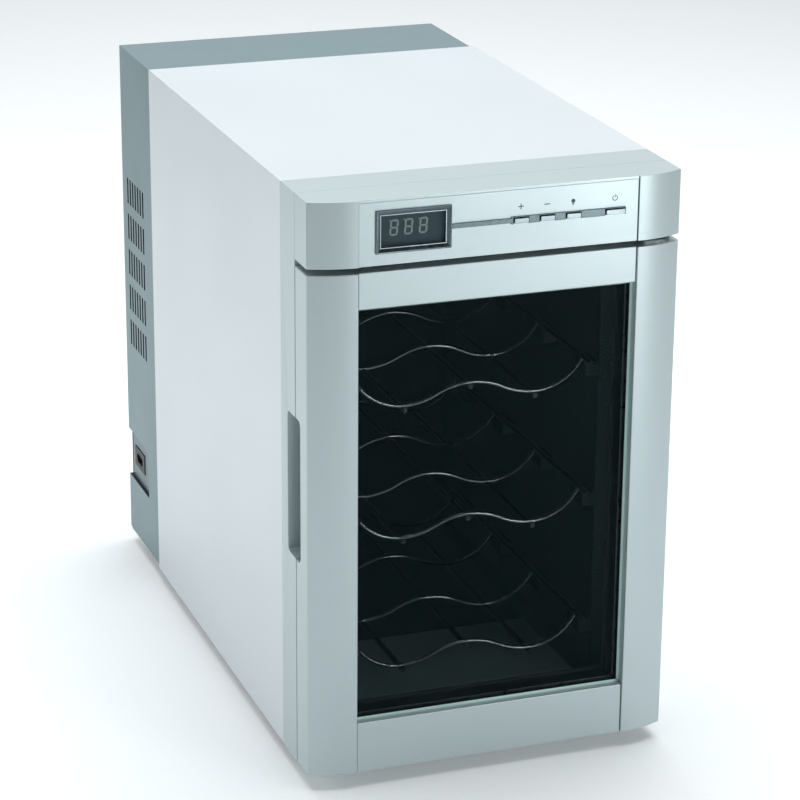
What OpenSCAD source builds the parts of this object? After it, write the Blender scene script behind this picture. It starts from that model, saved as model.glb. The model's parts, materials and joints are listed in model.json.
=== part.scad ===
// Small wine cooler: cabinet, glazed door, control strip, racks and thermoelectric cooling unit.
// The parts are drawn with x = 0 midway between the sides, y = 0 on the plane that the door closes on
// (+y to the back) and z = 0 on the cabinet's underside. place() then moves them so that the origin
// lies on the ground, below the middle of the whole cooler.

/* [Cabinet] */
// Width of the cabinet
body_w = 250; // [230:1:320]
// Height of the cabinet without its feet
body_h = 388; // [330:1:480]
// Depth of the moulded front frame
frame_d = 29; // [24:1:36]
// Depth of the bent sheet shell behind the front frame
shell_d = 315; // [260:1:400]
// Depth of the rear casing
casing_d = 88; // [80:1:120]
// Thickness of the sheet metal
sheet_t = 1; // [0.6:0.1:1.6]
// Wall of the front frame
frame_t = 3; // [2:0.1:4]
// Wall of the rear casing
casing_t = 2.6; // [2:0.1:4]
// How far the rear casing is set in from the shell
casing_inset = 1.2; // [0.6:0.1:4]
// Seam between neighbouring outer panels
seam = 0.3; // [0.2:0.1:1]
// Height of the feet
foot_h = 10; // [6:1:20]
// Radius of the feet
foot_r = 12; // [8:1:18]
// Distance of a foot's centre from the side
foot_inset = 24; // [20:1:40]
// Distance of a foot's centre from the front and the back of the cabinet
foot_end = 46; // [44:1:80]

/* [Insulated walls] */
// Outside of the cabinet to the inside of the liner, at the sides
side_wall = 37; // [30:1:50]
// Underside of the cabinet to the liner's floor
floor_wall = 28; // [20:1:45]
// Liner's ceiling to the top of the cabinet
roof_wall = 62; // [58:1:90]
// Liner's back to the back of the shell
back_wall = 44; // [42:1:60]
// Wall of the liner
liner_t = 2; // [1.5:0.1:3]
// How much wider the liner's mouth is on each side
mouth_flare = 8; // [4:1:12]
// Depth of the flared mouth
mouth_d = 10; // [6:1:16]
// Corner radius of the liner
liner_r = 10; // [4:1:16]
// Width of the flange round the liner's mouth
liner_flange = 8; // [5:1:12]
// Depth of the lit front part of the floor
ledge_d = 104; // [60:1:150]
// Thickness of the front floor plate
ledge_t = 1.2; // [0.8:0.1:3]

/* [Control strip] */
// Height of the control strip
strip_h = 42.5; // [40:0.5:60]
// Gap between the control strip and the door
strip_gap = 4; // [3.4:0.1:8]
// Wall of the control strip and of the door's skins
skin_t = 3; // [2:0.1:4]
// Thickness of the control strip's top where it covers the panel
cap_t = 2; // [1.5:0.1:3]

/* [Display and buttons] */
// Width of the display bezel
display_w = 49.5; // [40:0.5:60]
// Height of the display bezel
display_h = 27.5; // [22:0.5:32]
// Rim of the display bezel
bezel_rim = 3.1; // [2:0.1:5]
// Width of the flat lip round the display bezel, before it slopes in
bezel_lip = 0.9; // [0.5:0.1:1.8]
// Panel's left edge to the display bezel
display_inset = 11.2; // [6:0.1:20]
// Panel's lower edge to the display bezel
display_rise = 7.5; // [5:0.1:12]
// Height of a digit
digit_h = 10.2; // [8:0.1:12]
// Width of a digit
digit_w = 5.4; // [4:0.1:7]
// Distance from digit to digit
digit_pitch = 9.6; // [8:0.1:12]
// Height of the trim strip that carries the buttons
trim_h = 5; // [4:0.1:8]
// Height of the trim strip between the display and the buttons
slim_h = 3.2; // [2:0.1:4]
// Panel's lower edge to the middle of the trim strip
trim_rise = 21; // [16:0.5:26]
// Panel's right edge to the trim strip
trim_inset = 10.1; // [6:0.1:20]
// Width of a button
button_w = 9.6; // [7:0.1:12]
// Distance between the three buttons on the left
button_pitch = 17.6; // [14:0.1:22]
// Width of the button on the right
power_w = 12.7; // [9:0.1:16]
// Left edge of the right button to left edge of the button before it
power_step = 26.9; // [20:0.1:34]
// Travel of a button
button_travel = 1; // [0.6:0.1:1.5]
// Gap round a button
button_gap = 0.4; // [0.3:0.05:0.8]

/* [Door] */
// Depth of the door from the closing plane to its crest
door_d = 31; // [29:0.5:40]
// Width of a door pillar
pillar_w = 31.5; // [28:0.5:45]
// How far the front of a pillar falls back towards the cabinet's side
pillar_bow = 7.5; // [3:0.1:7.5]
// How far the rails and the panel lie behind the pillar's crest
panel_recess = 1.2; // [0.8:0.1:4]
// How far the glass lies behind the pillar's crest
glass_recess = 7; // [5:0.1:9]
// Height of the top rail
top_rail_h = 23.5; // [18:0.5:40]
// Height of the bottom rail
bottom_rail_h = 35.3; // [25:0.5:60]
// Door's underside above the cabinet's underside
door_lift = 1; // [0.8:0.1:3]
// Gap between the closed door and the front frame
door_gap = 0.8; // [0.6:0.1:1.5]
// Thickness of a glass pane
pane_t = 3.2; // [2.5:0.1:4]
// Space between the panes
pane_space = 10.6; // [8:0.1:12]
// How far the panes reach under their frames
pane_grip = 4.5; // [3:0.5:6]
// How far the inner lip of the door frame reaches in front of the inner pane
lip_w = 3; // [2:0.5:10]
// Hinge axis to the side of the cabinet
hinge_inset = 7; // [6.8:0.1:7.5]
// Hinge axis to the closing plane
hinge_back = 12; // [11.5:0.1:13]
// Radius of the hinge pins
pin_r = 2; // [1.5:0.1:2.5]
// Radial clearance of a running pin
pin_fit = 0.05; // [0.02:0.01:0.09]
// Length of a hinge bush
bush_h = 14; // [10:1:24]
// Thickness of the hinge plates
plate_t = 2.2; // [1.5:0.1:2.6]
// Width of the door gasket
gasket_w = 11; // [8:0.5:14]

/* [Finger pull] */
// Height of the finger pull
pull_h = 96.4; // [60:0.2:140]
// Middle of the finger pull above the cabinet's underside
pull_z = 192.8; // [120:0.2:260]
// Part of the finger pull that lies in the door
pull_in_door = 9.6; // [6:0.1:14]
// Part of the finger pull that lies in the front frame
pull_in_frame = 16.2; // [10:0.1:20]
// Depth of the finger pull
pull_depth = 14; // [10:0.5:16]
// Corner radius of the finger pull
pull_r = 4; // [2:0.5:6]

/* [Racks] */
// Radius of the wavy cross wires
wire_r = 1.4; // [1:0.1:2]
// Radius of the straight wires that run front to back
rail_r = 1.8; // [1.4:0.1:2.5]
// Crest to valley of the wave
wave_h = 11; // [6:0.5:16]
// Rise of the wave's end above the crest
wave_end_rise = 8; // [5:0.5:12]
// Outer valley to the side wire
valley_to_side = 33; // [24:1:40]
// End of a cross wire to the liner's side
wire_end_gap = 9.5; // [8.5:0.5:14]
// How far two welded wires sink into each other
weld_sink = 0.4; // [0.2:0.1:0.6]
// Crest of the lowest rack above the liner's floor
low_rack_rise = 33; // [28:1:50]
// Crest of the highest rack below the liner's ceiling
top_bay_h = 81; // [60:1:100]
// First cross wire behind the closing plane
first_wire = 18; // [14:1:30]
// Distance between cross wires
wire_pitch = 77; // [50:1:90]
// Number of cross wires
wire_count = 4; // [3:1:4]
// Length of a shelf lug
lug_l = 19; // [12:1:30]
// Height of a shelf lug
lug_h = 9; // [5:0.5:12]
// Distance between shelf lugs
lug_pitch = 72; // [50:1:80]

/* [Rear casing] */
// Rows of side vents
vent_rows = 5; // [2:1:5]
// Slots in a row
vent_cols = 7; // [3:1:7]
// Width of a vent slot
vent_w = 3.5; // [2:0.1:4.5]
// Height of a vent slot
vent_h = 19.8; // [12:0.1:22]
// Distance between slots
vent_pitch_y = 7.2; // [6:0.1:8]
// Distance between rows
vent_pitch_z = 28; // [24:0.5:30]
// Top of the upper row below the top of the cabinet
vent_drop = 99.4; // [60:0.2:120]
// Last slot's edge to the back of the casing
vent_back = 13.5; // [10:0.1:20]
// Length of the inlet recess from the back
inlet_l = 58; // [40:1:64]
// Height of the inlet recess
inlet_h = 38; // [30:1:50]
// Underside of the inlet recess above the cabinet's underside
inlet_z = 45.5; // [30:0.5:70]
// Inlet's centre to the back of the casing
inlet_back = 24; // [18:0.5:30]

/* [Cooling unit] */
// Side of the hot fan
hot_fan_w = 80; // [60:1:92]
// Depth of the hot fan
hot_fan_d = 20; // [15:1:25]
// Side of the cold fan
cold_fan_w = 60; // [50:1:70]
// Depth of the cold fan
cold_fan_d = 12; // [10:1:15]
// Middle of the cooling unit above the cabinet's underside
unit_z = 225; // [150:1:250]
// Side of the thermoelectric module
module_w = 40; // [30:1:50]
// Thickness of the thermoelectric module
module_t = 4; // [3:0.5:5]
// Number of blades on a fan
blades = 7; // [5:1:9]
// Clearance between a fan's blades and its duct
blade_gap = 1; // [0.6:0.1:2]

/* [Hidden] */
$fn = 48;
tiny = 0.01;

half_w = body_w / 2;
cab_d = frame_d + shell_d + casing_d;
shell_back = frame_d + shell_d;
shift_y = (door_d - cab_d) / 2;

// inside of the liner
in_x = half_w - side_wall;
in_z0 = floor_wall;
in_z1 = body_h - roof_wall;
in_y1 = shell_back - back_wall;
mouth_y = frame_t;

// door and control strip
strip_z0 = body_h - strip_h;
door_z0 = door_lift;
door_z1 = strip_z0 - strip_gap;
panel_x = half_w - pillar_w;
pillar_arc_r = (pow(pillar_w, 2) + pow(pillar_bow, 2)) / (2 * pillar_bow);
panel_y = -door_d + panel_recess;
glass_y = -door_d + glass_recess;
pane_back = glass_y + pane_t;
inner_pane_y = pane_back + pane_space;
lip_y = inner_pane_y + pane_t;
door_back = -3;
win_z0 = door_z0 + bottom_rail_h;
win_z1 = door_z1 - top_rail_h;
frame_x = half_w - skin_t;
hinge_x = half_w - hinge_inset;
relief_r = hinge_back - 0.6;
bush_x0 = hinge_x - 7;
bush_half_y = 6;

// racks
wire_end_x = in_x - wire_end_gap;
side_wire_x = wire_end_x + rail_r + 0.6 - weld_sink;
valley_x = wire_end_x - valley_to_side;
rack_low = in_z0 + low_rack_rise;
rack_high = in_z1 - top_bay_h;
rack_step = (rack_high - rack_low) / 2;
last_wire = first_wire + wire_pitch * (wire_count - 1);
wire_front = 6.3;
lug_gap = 0.3;

// display and buttons
display_x0 = -panel_x + display_inset;
display_z0 = strip_z0 + display_rise;
trim_z = strip_z0 + trim_rise;
trim_x0 = display_x0 + display_w;
trim_x1 = panel_x - trim_inset;
power_x0 = trim_x1 - power_w;
lamp_x0 = power_x0 - power_step;
cooler_x0 = lamp_x0 - button_pitch;
warmer_x0 = cooler_x0 - button_pitch;
trim_y = panel_y - 1;
board_y = -16;
board_t = 1.6;
switch_h = 4;
button_back = board_y - switch_h - button_travel - 0.3;

// cooling unit, from the liner's back wall to the rear
fan_y = in_y1 + liner_t;
cold_sink_y = fan_y + cold_fan_d;
cold_fin_d = 14;
sink_base_t = 4;
cold_block_y = cold_sink_y + cold_fin_d + sink_base_t;
bulkhead_t = 1;
module_y = shell_back + bulkhead_t + 1;
hot_sink_y = module_y + module_t;
hot_fin_d = 22;
hot_fan_y = hot_sink_y + 6 + hot_fin_d + 1;
cold_sink_w = cold_fan_w + 12;
hot_sink_w = hot_fan_w + 16;
shaft_r = 1.5;
casing_x = half_w - casing_inset;
casing_z1 = body_h - casing_inset;
casing_back = cab_d - casing_t;

// colours
silver = [0.84, 0.89, 0.91];
casing_grey = [0.55, 0.64, 0.67];
dark = [0.1, 0.11, 0.12];
chrome_grey = [0.75, 0.78, 0.8];
glass_tint = [0.35, 0.5, 0.5, 0.4];

module place() translate([0, shift_y, 0]) translate([0, 0, foot_h]) children();

// A box from its low corner to its high corner
module box(lo, hi) translate(lo) cube(hi - lo);

// A ring of rectangular section round a window that runs along y
module ring(x_out, z_out0, z_out1, x_in, z_in0, z_in1, y0, y1) difference() {
  box([-x_out, y0, z_out0], [x_out, y1, z_out1]);
  box([-x_in, y0 - 1, z_in0], [x_in, y1 + 1, z_in1]);
}

// A cylinder along y
module rod_y(x, y0, y1, z, r) translate([x, y0, z]) rotate([-90, 0, 0]) cylinder(r = r, h = y1 - y0);

// A slab with rounded corners that runs along y
module rounded_y(x, z0, z1, r, y0, y1) translate([0, y1, 0]) rotate([90, 0, 0])
  linear_extrude(y1 - y0) union() {
    translate([-x + r, z0]) square([2 * (x - r), z1 - z0]);
    translate([-x, z0 + r]) square([2 * x, z1 - z0 - 2 * r]);
    for (sx = [-1, 1], cz = [z0 + r, z1 - r]) translate([sx * (x - r), cz]) circle(r);
  }

// Space of the finger pull from y0 to y1, rounded at its open end y0 or y1
module pull_space(y0, y1) intersection() {
  box([-half_w - 1, y0, pull_z - pull_h / 2], [-half_w + pull_depth, y1, pull_z + pull_h / 2]);
  union() {
    box([-half_w - 1, -pull_in_door + pull_r, 0], [0, pull_in_frame - pull_r, body_h]);
    box([-half_w - 1, -pull_in_door, pull_z - pull_h / 2 + pull_r],
        [0, pull_in_frame, pull_z + pull_h / 2 - pull_r]);
    for (cy = [-pull_in_door + pull_r, pull_in_frame - pull_r], sz = [-1, 1])
      translate([-half_w - 1, cy, pull_z + sz * (pull_h / 2 - pull_r)])
        rotate([0, 90, 0]) cylinder(r = pull_r, h = half_w);
  }
}

// Screw positions
function foot_spots() = [for (sx = [-1, 1], y = [foot_end, cab_d - foot_end]) [sx * (half_w - foot_inset), y]];
function casing_spots() = [for (sx = [-1, 1], z = [16, body_h / 2 + 30, body_h - 16]) [sx * (casing_x - 12), z]];
function fan_spots(w) = [for (sx = [-1, 1], sz = [-1, 1]) [sx * (w / 2 - 4.5), unit_z + sz * (w / 2 - 4.5)]];
hinge_tab_z = strip_z0 + 12;
function hinge_tab_spots() = [half_w - 20, half_w - 10];
function hinge_foot_spots() = [8, 20];

// ---- cabinet ----

module outer_shell() color(silver) place() difference() {
  box([-half_w, frame_d + seam, 0], [half_w, shell_back, body_h]);
  box([-half_w + sheet_t, frame_d, -1], [half_w - sheet_t, shell_back + 1, body_h - sheet_t]);
}

module base_pan() color("gray") place() difference() {
  box([-half_w + sheet_t, frame_d + seam, 0], [half_w - sheet_t, cab_d - casing_t - 1, 1.2]);
  for (p = foot_spots()) if (p[1] > frame_d) translate([p[0], p[1], -1]) cylinder(r = 2, h = 4);
}

module feet() color(dark) place() for (p = foot_spots()) translate([p[0], p[1], -foot_h])
  difference() {
    cylinder(r = foot_r, h = foot_h);
    translate([0, 0, -1]) cylinder(r = foot_r - 4, h = 3);
  }

module front_frame() color(silver) place() difference() {
  union() {
    ring(half_w, 0, body_h, half_w - frame_t, frame_t, body_h - frame_t, 0, frame_d);
    box([-half_w + 1, 0, 1], [half_w - 1, frame_t, body_h - 1]);
    box([-half_w + 1, 0, pull_z - pull_h / 2 - 2],
        [-half_w + pull_depth + 2, pull_in_frame + 2, pull_z + pull_h / 2 + 2]);
    // thickened pads for the hinge screws
    box([half_w - 26, 0, 1], [half_w - 4, frame_d - 1, 8]);
    box([half_w - 26, 0, strip_z0 + 2], [half_w - 4, 9, strip_z0 + 22]);
  }
  rounded_y(in_x + mouth_flare, in_z0 - mouth_flare, in_z1 + mouth_flare, liner_r + 2, -1, frame_t + 1);
  pull_space(-1, pull_in_frame);
  for (x = hinge_tab_spots()) rod_y(x, -1, 7, hinge_tab_z, 1.5);
  for (y = hinge_foot_spots()) translate([half_w - 15, y, -1]) cylinder(r = 1.5, h = 7);
}

tub_y = mouth_y + mouth_d;
module tub(grow, y0) rounded_y(in_x + grow, in_z0 - grow, in_z1 + grow, liner_r + grow, y0, in_y1 + grow);

module inner_liner() color(dark) place() difference() {
  tub(liner_t, tub_y);
  tub(0, tub_y - 1);
  // air way to the cold fan and seat of the lamp
  rod_y(0, in_y1 - 1, in_y1 + liner_t + 1, unit_z, cold_fan_w / 2 - 1.5);
  box([-lamp_w / 2, lamp_y, in_z1 - 1], [lamp_w / 2, lamp_y + lamp_d, in_z1 + liner_t + 1]);
}

// Flare between the front frame's opening and the liner; lead carries the cut past the front face
module flare(grow, lead) hull() {
  rounded_y(in_x + mouth_flare + grow, in_z0 - mouth_flare - grow, in_z1 + mouth_flare + grow,
            liner_r + 2 + grow, mouth_y - lead, mouth_y + tiny, $fn = 32);
  rounded_y(in_x + grow, in_z0 - grow, in_z1 + grow, liner_r + grow, tub_y - tiny, tub_y + lead, $fn = 32);
}

// Strip that joins the liner to the front frame
module liner_collar() color(dark) place() difference() {
  union() {
    flare(liner_t, 0);
    rounded_y(in_x + mouth_flare + liner_flange, in_z0 - mouth_flare - liner_flange,
              in_z1 + mouth_flare + liner_flange, liner_r + 6, mouth_y, mouth_y + liner_t);
  }
  flare(0, 1);
}

// Top of the lugs of one rack; the rack's side wires slide on them
function lug_top(level) = rack_low + level * rack_step + wave_end_rise - rail_r - lug_gap;
module shelf_lugs() color(dark) place()
  for (sx = [-1, 1], level = [0 : 2], i = [0 : wire_count - 1])
    translate([sx > 0 ? in_x - lug_out : -in_x, tub_y + lug_pitch * i, lug_top(level) - lug_h])
      cube([lug_out, lug_l, lug_h]);

module floor_plate() color([0.35, 0.5, 0.52]) place()
  box([-in_x + liner_r, tub_y, in_z0], [in_x - liner_r, mouth_y + ledge_d, in_z0 + ledge_t]);

lamp_w = 60;
lamp_d = 14;
lamp_y = 24;

module lamp_board() color("darkgreen") place() {
  box([-lamp_w / 2 + 1, lamp_y + 1, in_z1 + liner_t], [lamp_w / 2 - 1, lamp_y + lamp_d - 1, in_z1 + liner_t + 1.6]);
  for (i = [-1 : 1]) translate([i * 18, lamp_y + lamp_d / 2, in_z1 + liner_t - 1.2]) cylinder(r = 2, h = 1.2 + tiny);
}

module lamp_lens() color("white") place() difference() {
  box([-lamp_w / 2 + 0.2, lamp_y + 0.2, in_z1 - 1], [lamp_w / 2 - 0.2, lamp_y + lamp_d - 0.2, in_z1 + liner_t]);
  box([-lamp_w / 2 + 2, lamp_y + 2, in_z1], [lamp_w / 2 - 2, lamp_y + lamp_d - 2, in_z1 + liner_t + 1]);
}

module foam_insulation() color([0.95, 0.9, 0.7]) place() difference() {
  union() {
    box([-half_w + frame_t, tub_y + 6, frame_t], [half_w - frame_t, frame_d, body_h - frame_t]);
    box([-half_w + sheet_t, frame_d, 1.2], [half_w - sheet_t, shell_back, body_h - sheet_t]);
  }
  rounded_y(in_x + liner_t, in_z0 - liner_t, in_z1 + liner_t, liner_r + liner_t, 0, in_y1 + liner_t);
  // duct of the cooling unit, seat of the lamp, back of the finger pull
  box([-cold_sink_w / 2 - 1, in_y1, unit_z - cold_sink_w / 2 - 1],
      [cold_sink_w / 2 + 1, cold_block_y, unit_z + cold_sink_w / 2 + 1]);
  box([-module_w / 2 - 1, in_y1, unit_z - module_w / 2 - 1],
      [module_w / 2 + 1, shell_back + 1, unit_z + module_w / 2 + 1]);
  box([-lamp_w / 2, lamp_y, in_z1], [lamp_w / 2, lamp_y + lamp_d, in_z1 + liner_t + 4]);
  box([-half_w, 0, pull_z - pull_h / 2 - 3], [-half_w + pull_depth + 3, frame_d, pull_z + pull_h / 2 + 3]);
  box([half_w - 27, 0, 0], [half_w, frame_d, 9]);
}

module rear_bulkhead() color("lightgray") place() difference() {
  box([-casing_x + casing_t + 0.2, shell_back, 1.4],
      [casing_x - casing_t - 0.2, shell_back + bulkhead_t, casing_z1 - casing_t - 0.2]);
  box([-module_w / 2 - 1, shell_back - 1, unit_z - module_w / 2 - 1],
      [module_w / 2 + 1, shell_back + bulkhead_t + 1, unit_z + module_w / 2 + 1]);
}

// ---- rear casing ----

module rear_casing() color(casing_grey) place() difference() {
  box([-casing_x, shell_back, casing_inset], [casing_x, cab_d, casing_z1]);
  box([-casing_x + casing_t, shell_back - 1, -1], [casing_x - casing_t, casing_back, casing_z1 - casing_t]);
  for (sx = [-1, 1], r = [0 : vent_rows - 1], c = [0 : vent_cols - 1])
    translate([sx * casing_x - 5, cab_d - vent_back - vent_w - c * vent_pitch_y,
               body_h - vent_drop - vent_h - r * vent_pitch_z]) cube([10, vent_w, vent_h]);
  box([-half_w, cab_d - inlet_l, inlet_z], [-casing_x + casing_t, cab_d + 1, inlet_z + inlet_h]);
  rod_y(0, casing_back - 1, cab_d + 1, unit_z, hot_fan_w / 2 + 6);
  for (p = casing_spots()) rod_y(p[0], casing_back - 1, cab_d + 1, p[1], 1.6);
}

// Round guard over the hot fan: rings joined by spokes
module rear_grille() color(dark) place() intersection() {
  rod_y(0, casing_back, cab_d, unit_z, hot_fan_w / 2 + 5.8);
  union() {
    for (i = [0 : 5]) difference() {
      rod_y(0, casing_back, cab_d, unit_z, hot_fan_w / 2 + 6 - i * 7);
      rod_y(0, casing_back - 1, cab_d + 1, unit_z, hot_fan_w / 2 + 3 - i * 7);
    }
    for (i = [0 : 3]) translate([0, casing_back, unit_z]) rotate([0, i * 45 + 22.5, 0])
      translate([-hot_fan_w, 0.4, -1.5]) cube([2 * hot_fan_w, casing_t - 0.8, 3]);
  }
}

inlet_y = cab_d - inlet_back;
inlet_mid = inlet_z + inlet_h / 2;
// The two round ends of the inlet's figure-eight mouth
module inlet_mouth(x0, x1, r) for (s = [-1, 1]) translate([x0, inlet_y + s * 4.2, inlet_mid])
  rotate([0, 90, 0]) cylinder(r = r, h = x1 - x0);
module inlet_waist(x0, x1, r) box([x0, inlet_y - 4.2, inlet_mid - r], [x1, inlet_y + 4.2, inlet_mid + r]);

module inlet_plate() color([0.45, 0.55, 0.6]) place() difference() {
  box([-casing_x + casing_t, cab_d - inlet_l - 3, inlet_z - 3],
      [-casing_x + casing_t + 2, casing_back, inlet_z + inlet_h + 3]);
  box([-half_w, inlet_y - 14, inlet_mid - 8], [0, inlet_y + 14, inlet_mid + 8]);
}

module power_inlet() color(dark) place() difference() {
  box([-casing_x + casing_t - 0.6, inlet_y - 13.8, inlet_mid - 7.8],
      [-casing_x + casing_t + 14, inlet_y + 13.8, inlet_mid + 7.8]);
  inlet_mouth(-half_w, -casing_x + casing_t + 10, 4);
  inlet_waist(-half_w, -casing_x + casing_t + 10, 3.4);
}

module inlet_pins() color("silver") place() for (s = [-1, 1])
  translate([-casing_x + casing_t + 1.5, inlet_y + s * 4.2, inlet_mid])
    rotate([0, 90, 0]) cylinder(r = 1.2, h = 8.5);

// ---- cooling unit ----

// A finned heat sink: base towards +y or -y by side, fins along z
module heat_sink(w, y_base, base, y_fin, fin_d, fins) {
  box([-w / 2, y_base, unit_z - w / 2], [w / 2, y_base + base, unit_z + w / 2]);
  for (i = [0 : fins - 1]) translate([-w / 2 + i * (w - 1.6) / (fins - 1), y_fin, unit_z - w / 2])
    cube([1.6, fin_d, w]);
}

// Square fan housing with a round duct, four struts and a shaft for its rotor
module fan_frame(w, y0, d) difference() {
  union() {
    difference() {
      box([-w / 2, y0, unit_z - w / 2], [w / 2, y0 + d, unit_z + w / 2]);
      rod_y(0, y0 - 1, y0 + d + 1, unit_z, w / 2 - 2);
    }
    translate([0, y0 + d - 3, unit_z]) rotate([-90, 0, 0]) linear_extrude(3) union() {
      circle(11);
      for (a = [45, 135]) rotate(a) square([w - 2, 3], center = true);
    }
    rod_y(0, y0 + 4, y0 + d - 2, unit_z, shaft_r);
  }
  for (p = fan_spots(w)) rod_y(p[0], y0 - 1, y0 + d + 1, p[1], 1.6);
}

// Rotor: hub with a bore, and pitched blades cut to a cylinder
module fan_rotor(w, y0, d) {
  blade_r = w / 2 - 2 - blade_gap;
  h = d - 3 - 1.6;
  difference() {
    union() {
      rod_y(0, y0 + 1, y0 + 1 + h, unit_z, 10);
      intersection() {
        rod_y(0, y0 + 1, y0 + 1 + h, unit_z, blade_r);
        for (i = [0 : blades - 1]) translate([0, y0 + 1 + h / 2, unit_z]) rotate([0, i * 360 / blades, 0])
          rotate([38, 0, 0]) translate([8, -0.7, -h]) cube([blade_r, 1.4, 2 * h]);
      }
    }
    rod_y(0, y0 + 3.5, y0 + d, unit_z, shaft_r + pin_fit);
  }
}

module cold_fan_cover() color(dark) place() difference() {
  rounded_y(cold_fan_w / 2 + 6, unit_z - cold_fan_w / 2 - 6, unit_z + cold_fan_w / 2 + 6, 6, in_y1 - 3, in_y1);
  for (i = [-4 : 4]) translate([-cold_fan_w / 2 + 4, in_y1 - 4, unit_z + i * 6 - 1.5])
    cube([cold_fan_w - 8, 5, 3]);
}

module cold_fan_frame() color(dark) place() fan_frame(cold_fan_w, fan_y, cold_fan_d);
module cold_fan_rotor() color("dimgray") place() fan_rotor(cold_fan_w, fan_y, cold_fan_d);
module cold_sink() color("silver") place()
  heat_sink(cold_sink_w, cold_sink_y + cold_fin_d, sink_base_t, cold_sink_y, cold_fin_d + tiny, 15);
module cold_block() color("silver") place()
  box([-module_w / 2, cold_block_y, unit_z - module_w / 2], [module_w / 2, module_y, unit_z + module_w / 2]);
module peltier_module() color("white") place()
  box([-module_w / 2, module_y, unit_z - module_w / 2], [module_w / 2, hot_sink_y, unit_z + module_w / 2]);
module hot_sink() color("silver") place() difference() {
  heat_sink(hot_sink_w, hot_sink_y, 6, hot_sink_y + 6 - tiny, hot_fin_d, 19);
}
module hot_fan_frame() color(dark) place() fan_frame(hot_fan_w, hot_fan_y, hot_fan_d);
module hot_fan_rotor() color("dimgray") place() fan_rotor(hot_fan_w, hot_fan_y, hot_fan_d);

module fan_screws() color("silver") place() {
  for (p = fan_spots(hot_fan_w)) {
    rod_y(p[0], hot_fan_y - 1, hot_fan_y + hot_fan_d, p[1], 1.5);
    rod_y(p[0], hot_fan_y + hot_fan_d, hot_fan_y + hot_fan_d + 1.8, p[1], 2.8);
  }
  for (p = fan_spots(cold_fan_w)) rod_y(p[0], fan_y, fan_y + cold_fan_d, p[1], 1.5);
}

board_z0 = 30;
supply_y = shell_back + bulkhead_t + 8;
module power_board() color("darkgreen") place() difference() {
  union() {
    box([-70, supply_y, board_z0], [70, supply_y + 1.6, board_z0 + 90]);
    for (sx = [-1, 1], z = [6, 84]) rod_y(sx * 64, shell_back + bulkhead_t, supply_y + tiny, board_z0 + z, 3);
    for (i = [0 : 3]) rod_y(-50 + i * 16, supply_y, supply_y + 20, board_z0 + 66, 5);
    box([-56, supply_y, board_z0 + 10], [-20, supply_y + 14, board_z0 + 40]);
  }
}
module transformer() color("orange") place() {
  box([6, supply_y + 1.6, board_z0 + 8], [56, supply_y + 34, board_z0 + 50]);
  box([14, supply_y + 1.6, board_z0 + 3], [48, supply_y + 26, board_z0 + 55]);
}

module casing_screws() color("silver") place() for (p = casing_spots()) difference() {
  rod_y(p[0], casing_back - 6, cab_d, p[1], 1.5);
  box([p[0] - 2, cab_d - 0.8, p[1] - 0.3], [p[0] + 2, cab_d + 1, p[1] + 0.3]);
}

// ---- control strip ----

// Plan outline of a pillar on the left: flat side, rounded front, from the side to x = -panel_x
module pillar_solid(z0, z1, y_back, shrink) intersection() {
  box([-half_w + shrink, -door_d + shrink, z0], [-panel_x, y_back, z1]);
  translate([-panel_x, -door_d + pillar_arc_r, z0 - 1])
    cylinder(r = pillar_arc_r - shrink, h = z1 - z0 + 2, $fn = 180);
}

// Outline of the control strip between two heights: rounded ends, and the flat panel between them
module strip_solid(z0, z1, y_front) {
  pillar_solid(z0, z1, -0.2, 0);
  mirror([1, 0, 0]) pillar_solid(z0, z1, -0.2, 0);
  box([-panel_x - tiny, y_front, z0], [panel_x + tiny, -0.2, z1]);
}

// One moulding: rounded ends, top and bottom, open at the front between the ends and at the back
module fascia_housing() color(silver) place() difference() {
  union() {
    for (sx = [0, 1]) mirror([sx, 0, 0]) pillar_solid(strip_z0, body_h, -0.2, 0);
    strip_solid(body_h - cap_t, body_h, panel_y);
    strip_solid(strip_z0, strip_z0 + skin_t, panel_y + skin_t + seam);
  }
  for (sx = [0, 1]) mirror([sx, 0, 0])
    pillar_solid(strip_z0 + skin_t, body_h - skin_t, 1, skin_t);
  // slot for the hinge plate's tab
  box([half_w - 27, -tab_t - 0.4, strip_z0 - 1], [half_w - frame_t - 0.5, 0, strip_z0 + skin_t + 1]);
}

module fascia_panel() color(silver) place() difference() {
  box([-panel_x + seam, panel_y, strip_z0], [panel_x - seam, panel_y + skin_t, body_h - cap_t]);
  box([display_x0 + 1, panel_y - 1, display_z0 + 1],
      [display_x0 + display_w - 1, panel_y + skin_t + 1, display_z0 + display_h - 1]);
  for (b = button_list()) box([b[0] - button_gap, panel_y - 1, trim_z - trim_h / 2 + 0.4],
    [b[0] + b[1] + button_gap, panel_y + skin_t + 1, trim_z + trim_h / 2 - 0.4]);
}

function button_list() = [[warmer_x0, button_w], [cooler_x0, button_w], [lamp_x0, button_w], [power_x0, power_w]];

module display_bezel() color(chrome_grey) place() difference() {
  box([display_x0, panel_y - 1.4, display_z0], [display_x0 + display_w, panel_y, display_z0 + display_h]);
  hull() {
    bezel_mouth(bezel_lip, panel_y - 1.4 - tiny);
    bezel_mouth(bezel_rim, panel_y);
  }
}
module bezel_mouth(rim, y) box([display_x0 + rim, y, display_z0 + rim],
  [display_x0 + display_w - rim, y + tiny, display_z0 + display_h - rim]);

lens_y = panel_y + 1;
module display_lens() color(glass_tint) place()
  box([display_x0 + 1.2, lens_y, display_z0 + 1.2],
      [display_x0 + display_w - 1.2, lens_y + 1.5, display_z0 + display_h - 1.2]);

digit_y = lens_y + 2.4;
module display_module() color([0.2, 0.28, 0.32]) place()
  box([display_x0 + 2, digit_y, display_z0 + 2],
      [display_x0 + display_w - 2, board_y, display_z0 + display_h - 2]);

slant = 0.09;
bar_t = 1.05;
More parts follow.
